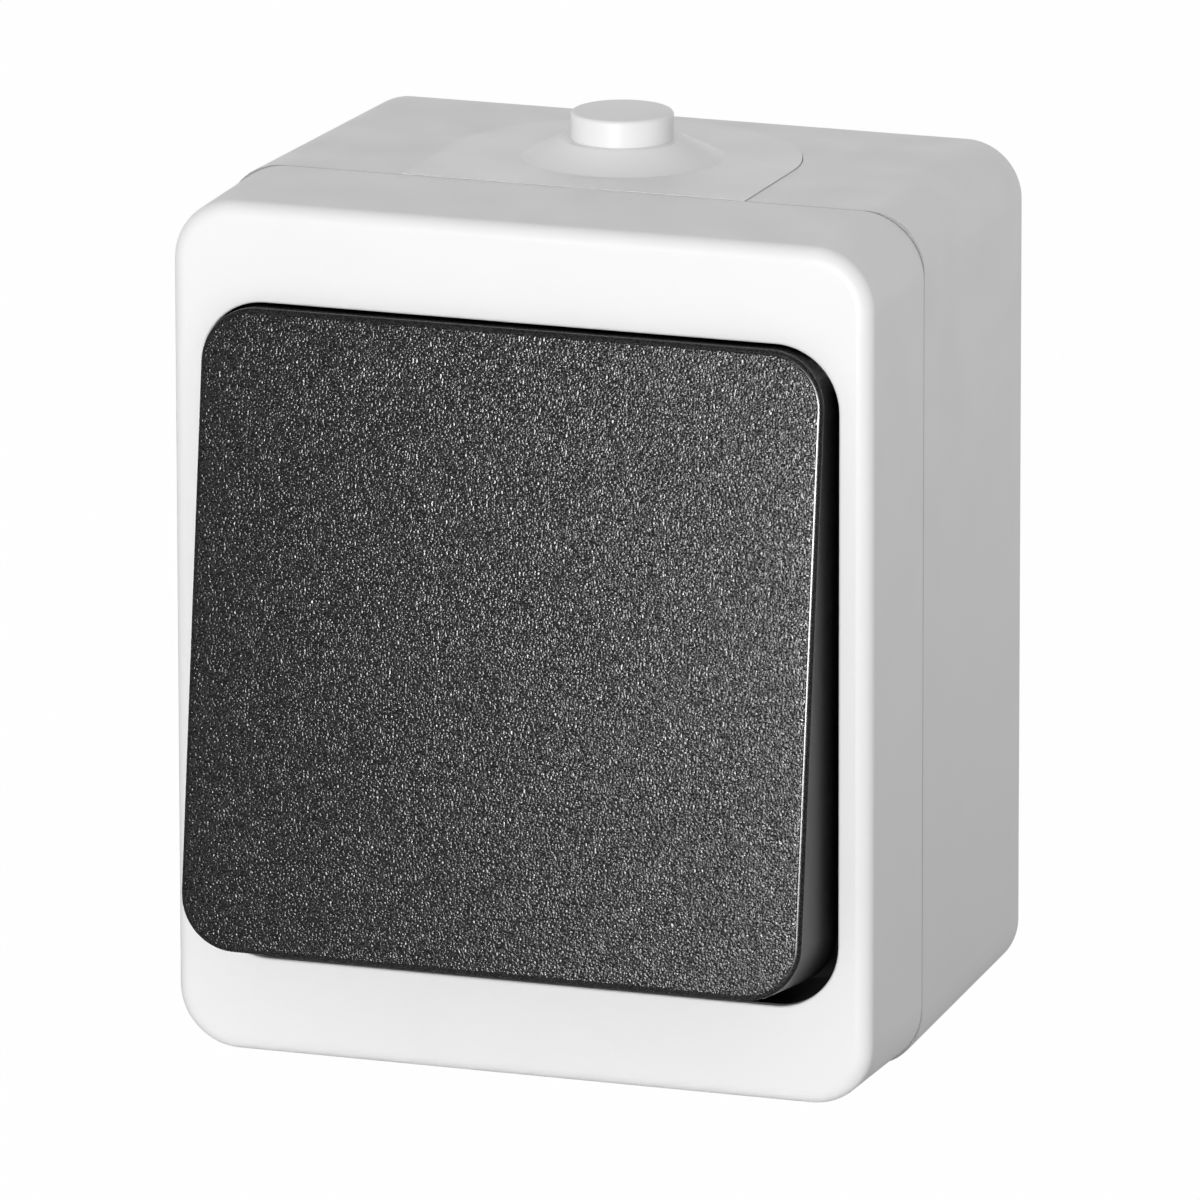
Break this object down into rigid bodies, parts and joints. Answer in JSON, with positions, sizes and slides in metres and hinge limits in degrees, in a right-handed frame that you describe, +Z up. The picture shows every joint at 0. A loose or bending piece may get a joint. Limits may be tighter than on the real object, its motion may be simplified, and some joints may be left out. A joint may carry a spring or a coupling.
{
  "type": "outdoor weatherproof switch",
  "caption": "Surface-mounted weatherproof rocker switch: white two-part housing, black tilting key, closed stepped cable entry on top.",
  "frame": {"origin": "centre of the housing's rear face, which lies on the wall", "axes": "+Y into the wall, +Z up along the housing's height, +X to the right seen from the front"},
  "size_m": [0.0674, 0.0569, 0.0846],
  "materials": {
    "housing_white": "fine satin, injection moulded",
    "key_black": "spark-eroded face, smooth skirt",
    "tray_black": "smooth gloss",
    "seal_rubber": "matt rubber",
    "mechanism_grey": "matt thermoset",
    "frame_grey": "satin",
    "cradle_white": "satin, self-lubricating",
    "terminal_brass": "stamped brass",
    "contact_silver": "bright silver alloy",
    "screw_steel": "zinc-plated",
    "spring_steel": "drawn wire"
  },
  "bodies": {
    "housing": {"back_box": "housing_white", "front_cover": "housing_white", "cable_entry": "housing_white", "inner_tray": "tray_black", "cover_gasket": "seal_rubber", "tray_seal": "seal_rubber", "cover_screws": "screw_steel", "mechanism_frame": "frame_grey", "mechanism_base": "mechanism_grey", "mechanism_screws": "screw_steel", "terminal_clamps": "terminal_brass", "terminal_screws": "screw_steel", "upper_terminal": "terminal_brass", "lower_terminal": "terminal_brass", "common_terminal": "terminal_brass", "fixed_contacts": "contact_silver"},
    "rocker": {"rocker_cap": "key_black", "rocker_cradle": "cradle_white", "plunger_spring": "spring_steel"},
    "plunger": {"plunger": "cradle_white"},
    "bridge": {"contact_bridge": "terminal_brass", "moving_contacts": "contact_silver"}
  },
  "joints": [
    {"name": "rocker_tilt", "type": "hinge", "parent": "housing", "child": "rocker", "pos_m": [0, -0.0414, 0], "axis": [1, 0, 0], "range_deg": [0, 14.4]},
    {"name": "plunger_slide", "type": "slide", "parent": "rocker", "child": "plunger", "axis": [0, -0.9921, 0.1253], "range_m": [0, 0.0015], "stiffness_N_per_m": 600, "springref_m": -0.003, "deforming": ["plunger_spring"]},
    {"name": "bridge_tilt", "type": "hinge", "parent": "housing", "child": "bridge", "pos_m": [0, -0.0288, 0], "axis": [1, 0, 0], "range_deg": [-19.2, 0]}
  ],
  "couplings": [
    {"joint": "bridge_tilt", "follows": "rocker_tilt", "ratio": -1.3333}
  ]
}
